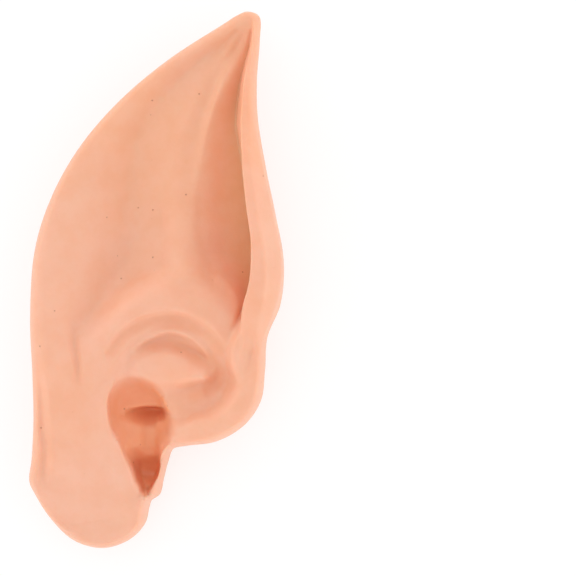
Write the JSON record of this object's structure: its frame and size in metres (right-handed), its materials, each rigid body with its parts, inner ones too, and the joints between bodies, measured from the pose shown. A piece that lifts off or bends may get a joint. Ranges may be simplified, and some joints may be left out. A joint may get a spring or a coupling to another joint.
{
  "type": "elf ear tip",
  "caption": "Soft pointed ear that slips over the wearer's own: a hollow moulded shell with a folded front and an open back.",
  "frame": {"origin": "middle of the part's box, on the plane that its back rests on", "axes": "+X across the ear to its face side, +Y from the lobe to the tip, +Z out of the folded front"},
  "size_m": [0.057, 0.12, 0.0251],
  "materials": {
    "skin_rubber": "satin"
  },
  "bodies": {
    "root": {"ear_shell": "skin_rubber"}
  },
  "joints": []
}
